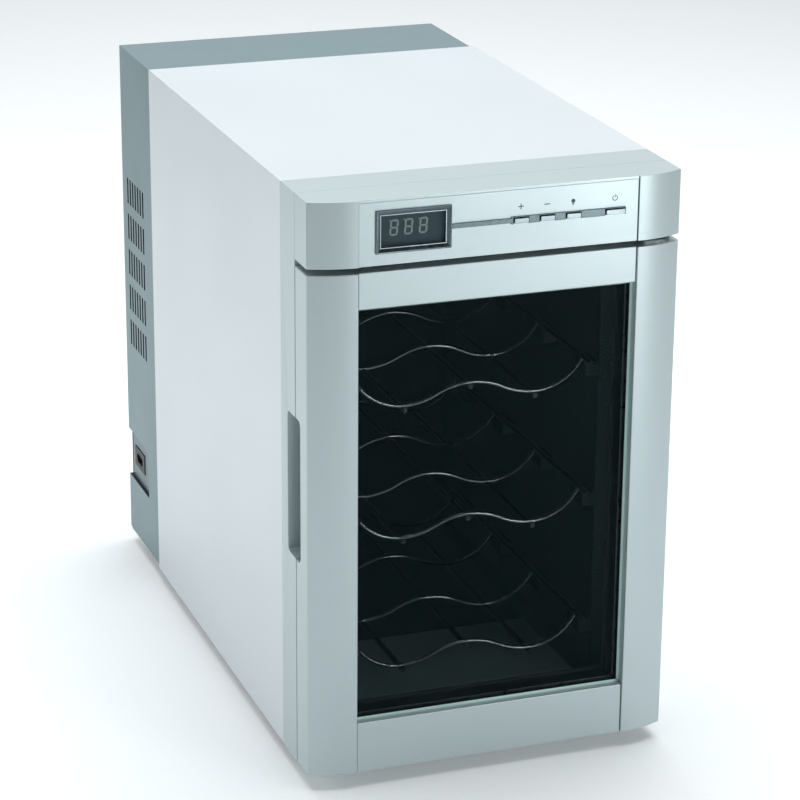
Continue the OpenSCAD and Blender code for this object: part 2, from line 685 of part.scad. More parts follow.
// One bar of a digit as a long hexagon, along x or z, in the slanted plane of the digit
function lean(p) = [p[0] + slant * p[1], p[1]];
function bar_x(cx, cz, l) = [for (p = [[-l, 0], [-l + bar_t / 2, bar_t / 2], [l - bar_t / 2, bar_t / 2],
  [l, 0], [l - bar_t / 2, -bar_t / 2], [-l + bar_t / 2, -bar_t / 2]]) lean([cx + p[0], cz + p[1]])];
function bar_z(cx, cz, l) = [for (p = [[0, -l], [-bar_t / 2, -l + bar_t / 2], [-bar_t / 2, l - bar_t / 2],
  [0, l], [bar_t / 2, l - bar_t / 2], [bar_t / 2, -l + bar_t / 2]]) lean([cx + p[0], cz + p[1]])];

module digit() {
  w = digit_w - bar_t;
  h = digit_h - bar_t;
  l = w / 2 - 0.12;
  k = h / 4 - 0.12;
  for (i = [0 : 2]) polygon(bar_x(0, (i - 1) * h / 2, l));
  for (sx = [-1, 1], sz = [-1, 1]) polygon(bar_z(sx * w / 2, sz * h / 4, k));
  translate(lean([-w / 2 - 0.9, h / 2])) circle(r = 0.45, $fn = 16);
}

module display_digits() color([0.75, 0.85, 0.8]) place()
  for (i = [-1 : 1]) translate([display_x0 + display_w / 2 - 2 + i * digit_pitch, digit_y,
                                display_z0 + display_h / 2 + 1.2])
    rotate([90, 0, 0]) linear_extrude(0.4) digit();

module trim_strip() color(chrome_grey) place() difference() {
  union() {
    box([trim_x0, trim_y, trim_z - slim_h / 2], [warmer_x0 - 1, panel_y, trim_z + slim_h / 2]);
    box([warmer_x0 - 1.6, trim_y, trim_z - trim_h / 2], [trim_x1 + 1, panel_y, trim_z + trim_h / 2]);
  }
  for (b = button_list()) box([b[0] - button_gap, trim_y - 1, trim_z - trim_h / 2 - 1],
    [b[0] + b[1] + button_gap, panel_y + 1, trim_z + trim_h / 2 - 0.7]);
}

module button(x, w) {
  box([x, trim_y - 1.2, trim_z - trim_h / 2 + 0.8], [x + w, button_back - 2, trim_z + trim_h / 2 - 1.1]);
  box([x + 1, button_back - 3, trim_z - 1], [x + w - 1, button_back, trim_z + 1]);
}
module button_warmer() color(chrome_grey) place() button(warmer_x0, button_w);
module button_cooler() color(chrome_grey) place() button(cooler_x0, button_w);
module button_lamp() color(chrome_grey) place() button(lamp_x0, button_w);
module button_power() color(chrome_grey) place() button(power_x0, power_w);

module control_board() color("darkgreen") place() {
  box([-panel_x + 8, board_y, strip_z0 + 5], [panel_x - 8, board_y + board_t, body_h - 5]);
  for (b = button_list()) box([b[0] + b[1] / 2 - 3, board_y - switch_h, trim_z - 3],
    [b[0] + b[1] / 2 + 3, board_y + tiny, trim_z + 3]);
  for (sx = [-1, 1]) rod_y(sx * (panel_x - 14), board_y + board_t - tiny, 0, strip_z0 + 10, 3);
}

// ---- hinges ----

plate_z = door_z1 + (strip_gap - plate_t) / 2;
tab_t = 1.8;
tab_z1 = strip_z0 + 20;
bush_z0 = door_z0 + skin_t;
bush_z1 = door_z1 - skin_t;
pin_reach = bush_h - 2;

module hinge_arm(z) difference() {
  union() {
    box([hinge_x - 14, -hinge_back, z], [hinge_x + 5.5, 0, z + plate_t]);
    translate([hinge_x, -hinge_back, z]) cylinder(r = 5.5, h = plate_t);
    box([hinge_x - 14, -hinge_back - 5.5, z], [hinge_x, -hinge_back + 1, z + plate_t]);
  }
  translate([hinge_x, -hinge_back, z - 1]) cylinder(r = pin_r, h = plate_t + 2);
}

module top_hinge_plate() color("silver") place() difference() {
  union() {
    hinge_arm(plate_z);
    box([half_w - 26, -tab_t, plate_z], [half_w - 4, 0, tab_z1]);
  }
  for (x = hinge_tab_spots()) rod_y(x, -tab_t - 1, 1, hinge_tab_z, 1.6);
  translate([hinge_x, -hinge_back, plate_z - 1]) cylinder(r = pin_r, h = plate_t + 2);
}

module bottom_hinge_plate() color("silver") place() difference() {
  union() {
    hinge_arm(-plate_t);
    box([half_w - 26, 0, -plate_t], [half_w - 4, frame_d - 3, 0]);
  }
  for (y = hinge_foot_spots()) translate([half_w - 15, y, -plate_t - 1]) cylinder(r = 1.6, h = plate_t + 2);
}

module top_hinge_pin() color("silver") place()
  translate([hinge_x, -hinge_back, bush_z1 - pin_reach]) cylinder(r = pin_r, h = plate_z + plate_t - bush_z1 + pin_reach);

module bottom_hinge_pin() color("silver") place()
  translate([hinge_x, -hinge_back, -plate_t]) cylinder(r = pin_r, h = bush_z0 + pin_reach + plate_t);

module hinge_screws() color("silver") place() {
  for (x = hinge_tab_spots()) {
    rod_y(x, -tab_t, 6.5, hinge_tab_z, 1.45);
    rod_y(x, -tab_t - 1.6, -tab_t, hinge_tab_z, 2.8);
  }
  for (y = hinge_foot_spots()) translate([half_w - 15, y, 0]) {
    translate([0, 0, -plate_t]) cylinder(r = 1.45, h = plate_t + 5.5);
    translate([0, 0, -plate_t - 1.6]) cylinder(r = 2.8, h = 1.6);
  }
}

// ---- door ----

// Space that the hinge-side back corner of the door must leave free as it turns
module hinge_relief() difference() {
  box([hinge_x, -hinge_back, -1], [half_w + 1, 1, body_h]);
  translate([hinge_x, -hinge_back, -2]) cylinder(r = relief_r, h = body_h + 4, $fn = 96);
}

// Pillar of the door on the left: skin with end caps and a reveal beside the glass
module door_pillar() difference() {
  pillar_solid(door_z0, door_z1, -door_gap, 0);
  difference() {
    pillar_solid(door_z0 + skin_t, door_z1 - skin_t, 1, skin_t);
    box([-panel_x - skin_t, -door_d - 1, win_z0 - pane_grip], [-panel_x + 1, glass_y, win_z1 + pane_grip]);
  }
}
module door_pillar_left() color(silver) place() difference() {
  door_pillar();
  pull_space(-door_d + skin_t, 1);
}
module door_pillar_right() color(silver) place() difference() {
  mirror([1, 0, 0]) door_pillar();
  hinge_relief();
  translate([hinge_x, -hinge_back, -1]) cylinder(r = pin_r + 0.6, h = body_h);
}

// Rail between the pillars; side is +1 where the window lies above it and -1 where it lies below
module door_rail(z0, z1, side) difference() {
  box([-panel_x + seam, panel_y, z0], [panel_x - seam, door_back, z1]);
  box([-panel_x, panel_y + skin_t, z0 + skin_t], [panel_x, door_back + 1, z1 - skin_t]);
  box([-panel_x, glass_y, side > 0 ? z0 + skin_t : z0 - 1], [panel_x, door_back + 1, side > 0 ? z1 + 1 : z1 - skin_t]);
}
module door_rail_top() color(silver) place() door_rail(win_z1, door_z1, -1);
module door_rail_bottom() color(silver) place() door_rail(door_z0, win_z0, 1);

pane_x = panel_x + pane_grip;
pane_z0 = win_z0 - pane_grip;
pane_z1 = win_z1 + pane_grip;
inner_x = panel_x - 0.5;
inner_z0 = win_z0 + 0.5;
inner_z1 = win_z1 - 0.5;

module door_frame() color([0.5, 0.6, 0.62]) place() difference() {
  box([-frame_x, pane_back, door_z0 + skin_t], [frame_x, door_back, door_z1 - skin_t]);
  box([-inner_x, pane_back - 1, inner_z0], [inner_x, lip_y, inner_z1]);
  box([-inner_x + lip_w, lip_y - 1, inner_z0 + lip_w], [inner_x - lip_w, door_back + 1, inner_z1 - lip_w]);
  pull_space(-door_d + skin_t, 1);
  hinge_relief();
  for (z = [bush_z0, bush_z1 - bush_h]) box([bush_x0, -hinge_back - bush_half_y, z - 1],
    [frame_x + 1, -hinge_back + bush_half_y, z + bush_h + 1]);
}

module hinge_bushes() color("white") place() for (z = [bush_z0, bush_z1 - bush_h]) difference() {
  box([bush_x0, -hinge_back - bush_half_y, z], [frame_x, -hinge_back + bush_half_y, z + bush_h]);
  translate([hinge_x, -hinge_back, z - 1]) cylinder(r = pin_r + pin_fit, h = bush_h + 2);
}

module outer_pane() color(glass_tint) place() box([-pane_x, glass_y, pane_z0], [pane_x, pane_back, pane_z1]);
module inner_pane() color(glass_tint) place()
  box([-inner_x, inner_pane_y, inner_z0], [inner_x, lip_y, inner_z1]);
module glass_spacer() color(dark) place()
  ring(inner_x, inner_z0, inner_z1, inner_x - lip_w, inner_z0 + lip_w, inner_z1 - lip_w, pane_back, inner_pane_y);

gasket_x = in_x + mouth_flare + 4 + gasket_w;
gasket_z0 = in_z0 - mouth_flare - 4 - gasket_w;
gasket_z1 = min(in_z1 + mouth_flare + 4 + gasket_w, door_z1 - skin_t - 1);
module door_gasket() color([0.6, 0.66, 0.68]) place() difference() {
  ring(gasket_x, gasket_z0, gasket_z1, gasket_x - gasket_w, gasket_z0 + gasket_w, gasket_z1 - gasket_w,
       door_back, -0.35);
  ring(gasket_x - 2, gasket_z0 + 2, gasket_z1 - 2, gasket_x - 4, gasket_z0 + 4, gasket_z1 - 4, -1.5, 1);
}

// ---- racks ----

crest_r = (pow(valley_x / 2, 2) + pow(wave_h / 2, 2)) / wave_h;
crest_a = atan2(valley_x / 2, crest_r - wave_h / 2);
end_rise = wave_h + wave_end_rise;
end_r = (pow(valley_to_side, 2) + pow(end_rise, 2)) / (2 * end_rise);
end_a = atan2(valley_to_side, end_r - end_rise);
// a lug reaches under the side wire and stops short of the cross wires at the height of its top
wire_reach = wire_r * sin(end_a) - (rail_r + lug_gap - wire_r * cos(end_a)) / tan(end_a);
lug_out = wire_end_gap - wire_reach - 0.6;

// Points and directions [x, z, dx, dz] of a cross wire from its left end to its right end
wave_steps = 6;
function arc_points(cx, cz, r, a0, a1) = [for (i = [0 : wave_steps]) let (a = a0 + (a1 - a0) * i / wave_steps,
  s = a1 > a0 ? 1 : -1) [cx + r * cos(a), cz + r * sin(a), -s * sin(a), s * cos(a)]];
function drop_last(list) = [for (i = [0 : len(list) - 2]) list[i]];
wave_path = concat(
  drop_last(arc_points(-valley_x, -wave_h + end_r, end_r, 270 - end_a, 270)),
  drop_last(arc_points(-valley_x, -wave_h + crest_r, crest_r, 270, 270 + crest_a)),
  drop_last(arc_points(0, -crest_r, crest_r, 90 + crest_a, 90 - crest_a)),
  drop_last(arc_points(valley_x, -wave_h + crest_r, crest_r, 270 - crest_a, 270)),
  arc_points(valley_x, -wave_h + end_r, end_r, 270, 270 + end_a));

// Wavy cross wire, a tube swept along wave_path in the plane across the cabinet at y
wire_sides = 10;
module cross_wire(y, z) {
  rings = len(wave_path);
  points = [for (q = wave_path, k = [0 : wire_sides - 1]) let (t = 360 * k / wire_sides)
    [q[0] - q[3] * wire_r * cos(t), y + wire_r * sin(t), z + q[1] + q[2] * wire_r * cos(t)]];
  sides = [for (i = [0 : rings - 2], k = [0 : wire_sides - 1]) let (n = (k + 1) % wire_sides)
    [i * wire_sides + k, i * wire_sides + n, (i + 1) * wire_sides + n, (i + 1) * wire_sides + k]];
  polyhedron(points = points, faces = concat(sides,
    [[for (k = [wire_sides - 1 : -1 : 0]) k]], [[for (k = [0 : wire_sides - 1]) (rings - 1) * wire_sides + k]]));
}

module rack(level) {
  z = rack_low + level * rack_step;
  y1 = last_wire + 10;
  for (i = [0 : wire_count - 1]) cross_wire(first_wire + i * wire_pitch, z);
  for (sx = [-1, 1]) rod_y(sx * side_wire_x, wire_front, y1, z + wave_end_rise, rail_r);
  for (sx = [-1, 0, 1]) rod_y(sx * valley_x, first_wire - wire_r, y1, z - abs(sx) * wave_h - wire_r - rail_r + weld_sink, rail_r);
}
module rack_top() color(chrome_grey) place() rack(2);
module rack_middle() color(chrome_grey) place() rack(1);
module rack_bottom() color(chrome_grey) place() rack(0);

outer_shell();
base_pan();
feet();
front_frame();
inner_liner();
liner_collar();
shelf_lugs();
floor_plate();
foam_insulation();
rear_bulkhead();
rear_casing();
rear_grille();
inlet_plate();
power_inlet();
inlet_pins();
cold_fan_cover();
cold_fan_frame();
cold_fan_rotor();
cold_sink();
cold_block();
peltier_module();
hot_sink();
hot_fan_frame();
hot_fan_rotor();
power_board();
transformer();
fascia_housing();
fascia_panel();
display_bezel();
display_lens();
display_module();
display_digits();
trim_strip();
control_board();
button_warmer();
button_cooler();
button_lamp();
button_power();
lamp_board();
lamp_lens();
top_hinge_plate();
bottom_hinge_plate();
top_hinge_pin();
bottom_hinge_pin();
door_frame();
door_pillar_left();
door_pillar_right();
door_rail_top();
door_rail_bottom();
outer_pane();
inner_pane();
glass_spacer();
door_gasket();
hinge_bushes();
rack_top();
rack_middle();
rack_bottom();
casing_screws();
hinge_screws();
fan_screws();
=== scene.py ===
"""Looks of a small free-standing wine cooler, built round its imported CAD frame."""
import json
import math

import bmesh
import bpy
from mathutils import Matrix, Vector


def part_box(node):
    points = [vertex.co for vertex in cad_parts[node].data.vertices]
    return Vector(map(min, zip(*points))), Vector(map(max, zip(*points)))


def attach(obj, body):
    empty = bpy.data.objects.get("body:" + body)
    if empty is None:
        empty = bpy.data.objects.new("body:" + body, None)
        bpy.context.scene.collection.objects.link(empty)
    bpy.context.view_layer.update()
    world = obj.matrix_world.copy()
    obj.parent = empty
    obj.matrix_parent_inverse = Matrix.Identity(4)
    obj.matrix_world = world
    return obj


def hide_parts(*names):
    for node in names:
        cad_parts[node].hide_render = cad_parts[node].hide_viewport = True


MM = 0.001
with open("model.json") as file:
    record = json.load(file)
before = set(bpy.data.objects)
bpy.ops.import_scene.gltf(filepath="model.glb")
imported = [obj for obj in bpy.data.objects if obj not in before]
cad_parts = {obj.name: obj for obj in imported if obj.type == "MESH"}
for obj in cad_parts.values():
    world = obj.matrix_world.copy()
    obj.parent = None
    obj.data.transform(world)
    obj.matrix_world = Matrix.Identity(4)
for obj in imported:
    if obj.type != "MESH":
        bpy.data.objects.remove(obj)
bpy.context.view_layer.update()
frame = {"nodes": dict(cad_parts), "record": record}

# ---------------------------------------------------------------- camera, floor and light

CAMERA_AT = Vector((-0.6489, -1.8501, 0.8825))
CAMERA_AHEAD = Vector((0.31902, 0.88580, -0.33703))
CAMERA_ROLL = math.radians(0.45)
CAMERA_LENS = 131.36
SENSOR = 36.0


def make_camera():
    """Camera at the object's usual three-quarter view from the front left, a little above."""
    data = bpy.data.cameras.new("camera")
    data.lens = CAMERA_LENS
    data.sensor_width = SENSOR
    data.clip_end = 50
    camera = bpy.data.objects.new("camera", data)
    aim = CAMERA_AHEAD.to_track_quat("-Z", "Y").to_matrix()
    turn = aim @ Matrix.Rotation(CAMERA_ROLL, 3, "Z")
    camera.matrix_world = Matrix.Translation(CAMERA_AT) @ turn.to_4x4()
    bpy.context.scene.collection.objects.link(camera)
    bpy.context.scene.camera = camera


def make_lamp(name, at, target, size, watts, tint):
    """Soft rectangular lamp at a point, facing a target."""
    data = bpy.data.lights.new(name, "AREA")
    data.shape = "RECTANGLE"
    data.size, data.size_y = size
    data.energy = watts
    data.color = tint
    lamp = bpy.data.objects.new(name, data)
    ahead = (Vector(target) - Vector(at)).normalized()
    aim = ahead.to_track_quat("-Z", "Y").to_matrix()
    lamp.matrix_world = Matrix.Translation(at) @ aim.to_4x4()
    lamp.visible_camera = False
    bpy.context.scene.collection.objects.link(lamp)


# name, place, target, size (all in metres), power in watts, tint
LAMPS = [
    ("top_soft", (0.2, 0.3, 2.2), (0, 0, 0.3), (2.4, 2.4), 57, (0.95, 0.99, 1.0)),
    ("left_soft", (-1.7, 0.1, 0.7), (0, 0.0, 0.2), (1.2, 1.2), 8, (0.97, 0.99, 1.0)),
    ("right_front", (0.75, -1.60, 0.26), (0.04, -0.2, 0.2), (0.5, 0.8), 8.6, (0.97, 1.0, 1.0)),
    ("back_soft", (1.0, 4.2, 2.4), (0.7, 2.8, 0), (4.5, 3.0), 46, (0.97, 0.99, 1.0)),
]


def make_stage():
    """Pale floor, pale surroundings and soft studio light."""
    bpy.ops.mesh.primitive_plane_add(size=24, location=(0, 0, 0))
    floor = bpy.context.object
    floor.name = "studio_floor"
    mat, shader, _ = new_material("floor_paper")
    shader.inputs["Base Color"].default_value = (0.95, 0.96, 0.97, 1)
    shader.inputs["Roughness"].default_value = 0.9
    shader.inputs["Specular IOR Level"].default_value = 0.1
    floor.data.materials.append(mat)
    shader.inputs["Emission Color"].default_value = (1, 1, 1, 1)
    shader.inputs["Emission Strength"].default_value = 0.12
    world = bpy.data.worlds.new("surroundings")
    world.use_nodes = True
    back = world.node_tree.nodes["Background"]
    back.inputs["Color"].default_value = (0.84, 0.93, 0.96, 1)
    back.inputs["Strength"].default_value = 0.16
    scene = bpy.context.scene
    scene.world = world
    scene.view_settings.view_transform = "Standard"
    for lamp in LAMPS:
        make_lamp(*lamp)


# ---------------------------------------------------------------- material helpers

def new_material(name):
    """Material with its principled shader and a function that links two sockets."""
    mat = bpy.data.materials.new(name)
    mat.use_nodes = True
    tree = mat.node_tree
    shader = tree.nodes["Principled BSDF"]
    return mat, shader, tree.links.new


def noise(mat, scale, detail=2.0, roughness=0.5, stretch=(1, 1, 1)):
    """Noise on object coordinates; stretch above 1 packs the pattern tighter along that axis."""
    nodes, link = mat.node_tree.nodes, mat.node_tree.links.new
    coords = nodes.new("ShaderNodeTexCoord")
    mapping = nodes.new("ShaderNodeMapping")
    mapping.inputs["Scale"].default_value = stretch
    field = nodes.new("ShaderNodeTexNoise")
    field.inputs["Scale"].default_value = scale
    field.inputs["Detail"].default_value = detail
    field.inputs["Roughness"].default_value = roughness
    link(coords.outputs["Object"], mapping.inputs["Vector"])
    link(mapping.outputs["Vector"], field.inputs["Vector"])
    return field.outputs["Fac"]


def ramp(mat, source, low, high, low_at=0.3, high_at=0.7):
    """Two-stop ramp from one value or colour to another."""
    node = mat.node_tree.nodes.new("ShaderNodeValToRGB")
    ends = node.color_ramp.elements
    for end, at, value in ((ends[0], low_at, low), (ends[1], high_at, high)):
        end.position = at
        end.color = (*value, 1) if hasattr(value, "__len__") else (value, value, value, 1)
    mat.node_tree.links.new(source, node.inputs["Fac"])
    return node.outputs["Color"]


def bump(mat, shader, source, depth):
    """Bump of a real depth in metres into the shader's normal."""
    node = mat.node_tree.nodes.new("ShaderNodeBump")
    node.inputs["Strength"].default_value = 1.0
    node.inputs["Distance"].default_value = depth
    mat.node_tree.links.new(source, node.inputs["Height"])
    mat.node_tree.links.new(node.outputs["Normal"], shader.inputs["Normal"])


def shade(colour, factor):
    """Colour made lighter or darker by a factor."""
    return tuple(min(1.0, c * factor) for c in colour)


def silver_paint(name, colour, metallic=0.35, rough=0.38, grain=2600, peel=0.00002):
    """Satin metallic paint: fine flakes, slow tonal drift and a slight orange peel."""
    mat, shader, link = new_material(name)
    flakes = noise(mat, grain, 1.0)
    link(ramp(mat, flakes, shade(colour, 0.965), shade(colour, 1.03)), shader.inputs["Base Color"])
    link(ramp(mat, noise(mat, 9, 3.0), rough - 0.03, rough + 0.04), shader.inputs["Roughness"])
    shader.inputs["Metallic"].default_value = metallic
    bump(mat, shader, noise(mat, 520, 2.0), peel)
    return mat


def moulded(name, colour, rough=0.55, grain=1800, depth=0.00003, drift=0.08):
    """Moulded plastic or rubber with a fine spark-eroded grain."""
    mat, shader, link = new_material(name)
    link(ramp(mat, noise(mat, 14, 3.0), shade(colour, 1 - drift), shade(colour, 1 + drift)),
         shader.inputs["Base Color"])
    sheen = noise(mat, grain * 0.4, 2.0)
    link(ramp(mat, sheen, rough - 0.05, rough + 0.05), shader.inputs["Roughness"])
    bump(mat, shader, noise(mat, grain, 2.0), depth)
    return mat


def plated(name, colour, rough, drift=0.04):
    """Bright plated metal with faint polishing haze."""
    mat, shader, link = new_material(name)
    shader.inputs["Metallic"].default_value = 1.0
    haze = noise(mat, 60, 3.0)
    link(ramp(mat, haze, shade(colour, 1 - drift), colour), shader.inputs["Base Color"])
    link(ramp(mat, noise(mat, 240, 4.0), rough * 0.7, rough * 1.5), shader.inputs["Roughness"])
    return mat


def drawn_metal(name, colour, stretch, rough=0.32):
    """Rolled or extruded metal with fine lines along one axis."""
    mat, shader, link = new_material(name)
    lines = noise(mat, 260, 4.0, 0.6, stretch)
    shader.inputs["Metallic"].default_value = 1.0
    link(ramp(mat, lines, shade(colour, 0.85), colour), shader.inputs["Base Color"])
    link(ramp(mat, lines, rough - 0.07, rough + 0.1), shader.inputs["Roughness"])
    bump(mat, shader, lines, 0.00002)
    return mat


def pane(name, colour, alpha, rough=0.03):
    """Tinted clear pane with a trace of haze."""
    mat, shader, link = new_material(name)
    haze = noise(mat, 22, 4.0)
    link(ramp(mat, haze, colour, shade(colour, 1.25)), shader.inputs["Base Color"])
    link(ramp(mat, haze, rough, rough * 2), shader.inputs["Roughness"])
    shader.inputs["Alpha"].default_value = alpha
    shader.inputs["Specular IOR Level"].default_value = 0.08
    return mat


def glowing(name, colour, strength):
    """Pale segment with a painted glow: it gives off a little light, though it is no lamp."""
    mat, shader, link = new_material(name)
    tone = ramp(mat, noise(mat, 900, 1.0), shade(colour, 0.9), colour)
    link(tone, shader.inputs["Base Color"])
    shader.inputs["Emission Color"].default_value = tuple(colour) + (1,)
    shader.inputs["Emission Strength"].default_value = strength
    shader.inputs["Roughness"].default_value = 0.5
    return mat


def circuit(name, colour=(0.02, 0.16, 0.08)):
    """Solder mask over a pattern of tracks."""
    mat, shader, link = new_material(name)
    nodes = mat.node_tree.nodes
    coords = nodes.new("ShaderNodeTexCoord")
    cells = nodes.new("ShaderNodeTexVoronoi")
    cells.distance = "CHEBYCHEV"
    cells.feature = "F2"
    cells.inputs["Scale"].default_value = 190
    link(coords.outputs["Object"], cells.inputs["Vector"])
    tracks = ramp(mat, cells.outputs["Distance"], shade(colour, 1.9), colour, 0.45, 0.5)
    link(tracks, shader.inputs["Base Color"])
    shader.inputs["Roughness"].default_value = 0.35
    bump(mat, shader, cells.outputs["Distance"], 0.00004)
    return mat


M = {}


def make_materials():
    """Every finish of the cooler, in M under a short name; colours are linear."""
    M["shell"] = silver_paint("shell_paint", (0.65, 0.69, 0.71))
    M["silver"] = silver_paint("silver_plastic_paint", (0.46, 0.535, 0.55), 0.45, 0.33, 3000)
    M["casing"] = silver_paint("casing_paint", (0.17, 0.25, 0.27), 0.45, 0.40)
    # near-black inside the rear casing and in its slots: painted shade
    M["casing_shade"] = moulded("casing_painted_shade_inside", (0.010, 0.014, 0.015), 0.7)
    M["liner"] = moulded("liner_black", (0.042, 0.078, 0.084), 0.38, 1800, 0.00001, 0.04)
    M["lug"] = moulded("lug_grey", (0.09, 0.13, 0.135), 0.2, 1200, 0.00001)
    # floor plate many times lighter than the liner: painted light on the front of the interior floor
    M["floor_plate"] = moulded("floor_painted_light", (0.46, 0.62, 0.64), 0.35, 1200, 0.00001)
    M["black"] = moulded("black_moulded", (0.014, 0.015, 0.016), 0.5)
    M["rubber"] = moulded("foot_rubber", (0.018, 0.018, 0.019), 0.8, 900, 0.00006)
    M["inlet"] = moulded("inlet_grey", (0.12, 0.18, 0.20), 0.4)
    M["chrome"] = plated("chrome_bright", (0.34, 0.39, 0.41), 0.10)
    M["button"] = plated("button_chrome", (0.24, 0.28, 0.30), 0.14)
    # dark copy of the chrome for the trim strip and display bezel: painted dark reflection
    M["strip"] = plated("trim_chrome_painted_dark", (0.10, 0.13, 0.14), 0.22)
    # dark copy of the rack chrome: painted dark reflection on the rods and CAD rack frames
    M["rod_dark_reflection"] = plated("rack_rod_painted_dark", (0.09, 0.11, 0.115), 0.35)
    M["wire"] = plated("rack_chrome", (0.46, 0.52, 0.53), 0.12)
    M["steel"] = drawn_metal("zinc_steel", (0.62, 0.64, 0.65), (1, 6, 1))
    M["aluminium"] = drawn_metal("extruded_aluminium", (0.74, 0.76, 0.77), (4, 4, 0.2))
    M["spacer"] = drawn_metal("spacer_aluminium", (0.20, 0.24, 0.25), (1, 8, 1))
    M["glass_out"] = pane("outer_glass", (0.002, 0.008, 0.009), 0.26)
    M["glass_in"] = pane("inner_glass", (0.002, 0.008, 0.009), 0.10)
    # pale green band along the window's edges: the glass edge's green with a painted highlight
    M["lit_edge"] = moulded("glass_edge_painted_highlight", (0.62, 0.84, 0.80), 0.25)
    M["lens"] = pane("display_smoke", (0.02, 0.045, 0.06), 0.35, 0.05)
    M["display"] = moulded("display_face", (0.15, 0.22, 0.24), 0.5)
    # the display is off; the digits' faint emission is a painted glow
    M["digit"] = glowing("unlit_digit_painted_glow", (0.74, 0.84, 0.80), 0.22)
    M["print"] = moulded("printed_mark", (0.05, 0.065, 0.075), 0.6)
    M["door_inner"] = moulded("door_inner_grey", (0.10, 0.14, 0.15), 0.5)
    M["gasket"] = moulded("gasket_grey", (0.16, 0.20, 0.21), 0.6)
    M["white"] = moulded("white_moulded", (0.75, 0.77, 0.76), 0.45)
    M["board"] = circuit("board_green")
    M["tape"] = moulded("coil_tape", (0.45, 0.33, 0.05), 0.5, 300, 0.0001)
    M["foam"] = moulded("rigid_foam", (0.75, 0.68, 0.42), 0.9, 500, 0.0003)


# each look, and the CAD nodes that wear it
NODE_LOOKS = {
    "shell": ["outer_shell"],
    "silver": ["front_frame", "fascia_panel", "fascia_housing", "door_pillar_left",
               "door_pillar_right", "door_rail_top", "door_rail_bottom"],
    "casing": ["rear_casing"],
    "lug": ["shelf_lugs"],
    "liner": ["inner_liner", "liner_collar", "cold_fan_cover"],
    "floor_plate": ["floor_plate"],
    "black": ["rear_grille", "power_inlet", "cold_fan_frame", "cold_fan_rotor", "hot_fan_frame",
              "hot_fan_rotor"],
    "rubber": ["feet"],
    "inlet": ["inlet_plate"],
    "button": ["button_warmer", "button_cooler", "button_lamp", "button_power"],
    "strip": ["trim_strip", "display_bezel"],
    # the racks wear the dark copy of the wire chrome, a painted dark reflection
    "rod_dark_reflection": ["rack_top", "rack_middle", "rack_bottom"],
    "steel": ["base_pan", "rear_bulkhead", "inlet_pins", "top_hinge_plate", "bottom_hinge_plate",
              "top_hinge_pin", "bottom_hinge_pin", "casing_screws", "hinge_screws", "fan_screws"],
    "aluminium": ["cold_sink", "cold_block", "hot_sink"],
    "spacer": ["glass_spacer"],
    "glass_out": ["outer_pane"],
    "glass_in": ["inner_pane"],
    "lens": ["display_lens"],
    "display": ["display_module"],
    "digit": ["display_digits"],
    "door_inner": ["door_frame"],
    "gasket": ["door_gasket"],
    "white": ["peltier_module", "lamp_lens", "hinge_bushes"],
    "board": ["power_board", "control_board", "lamp_board"],
    "tape": ["transformer"],
    "foam": ["foam_insulation"],
}


def dress_nodes():
    """CAD nodes take the looks of their groups."""
    for look, names in NODE_LOOKS.items():
        for name in names:
            mesh = frame["nodes"][name].data
            mesh.materials.clear()
            mesh.materials.append(M[look])


# ---------------------------------------------------------------- pieces with finished edges

BODIES = frame["record"]["behaviour"]["bodies"]
NODE_BODY = {name: body for body, names in BODIES.items() for name in names}


def place_piece(obj, node, *looks):
    """Finished piece takes its looks, and the body of its CAD node."""
    obj.data.materials.clear()
    for look in looks:
        obj.data.materials.append(M[look])
    if obj.name not in bpy.context.scene.collection.objects:
        bpy.context.scene.collection.objects.link(obj)
    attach(obj, NODE_BODY[node])


JOIN_WITHIN = 0.000002
FLAT_WITHIN = math.radians(0.4)
SHARP_FROM = math.radians(32)


def joined_mesh(node):
    """Copy of a CAD node's mesh with its loose triangles joined and its flats made whole."""
    mesh = frame["nodes"][node].data.copy()
    work = bmesh.new()
    work.from_mesh(mesh)
    bmesh.ops.remove_doubles(work, verts=work.verts, dist=JOIN_WITHIN)
    bmesh.ops.dissolve_limit(work, angle_limit=FLAT_WITHIN, verts=work.verts, edges=work.edges)
    work.to_mesh(mesh)
    work.free()
    mesh.shade_smooth()
    mesh.set_sharp_from_angle(angle=SHARP_FROM)
    return mesh


def rounded(node, edge, look):
    """CAD node redrawn with softened edges of a real width in millimetres."""
    obj = bpy.data.objects.new(node + "_finished", joined_mesh(node))
    place_piece(obj, node, look)
    soften = obj.modifiers.new("soft_edge", "BEVEL")
    soften.width = edge * MM
    soften.segments = 3
    soften.limit_method = "ANGLE"
    soften.angle_limit = math.radians(40)
    soften.harden_normals = True
    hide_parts(node)


# CAD node, edge width in millimetres, look
ROUNDED = [
    ("front_frame", 0.25, "silver"),
    ("fascia_housing", 0.6, "silver"),
    ("fascia_panel", 0.3, "silver"),
    ("door_pillar_left", 0.7, "silver"),
    ("door_pillar_right", 0.7, "silver"),
    ("door_rail_top", 0.6, "silver"),
    ("door_rail_bottom", 0.6, "silver"),
    ("outer_shell", 0.25, "shell"),
    ("display_bezel", 0.2, "strip"),
    ("trim_strip", 0.3, "strip"),
    ("button_warmer", 0.4, "button"),
    ("button_cooler", 0.4, "button"),
    ("button_lamp", 0.4, "button"),
    ("button_power", 0.4, "button"),
    ("inlet_plate", 0.4, "inlet"),
]
# faces this close to the casing's sides, top or back are its painted outside
CASING_SKIN = 0.0009


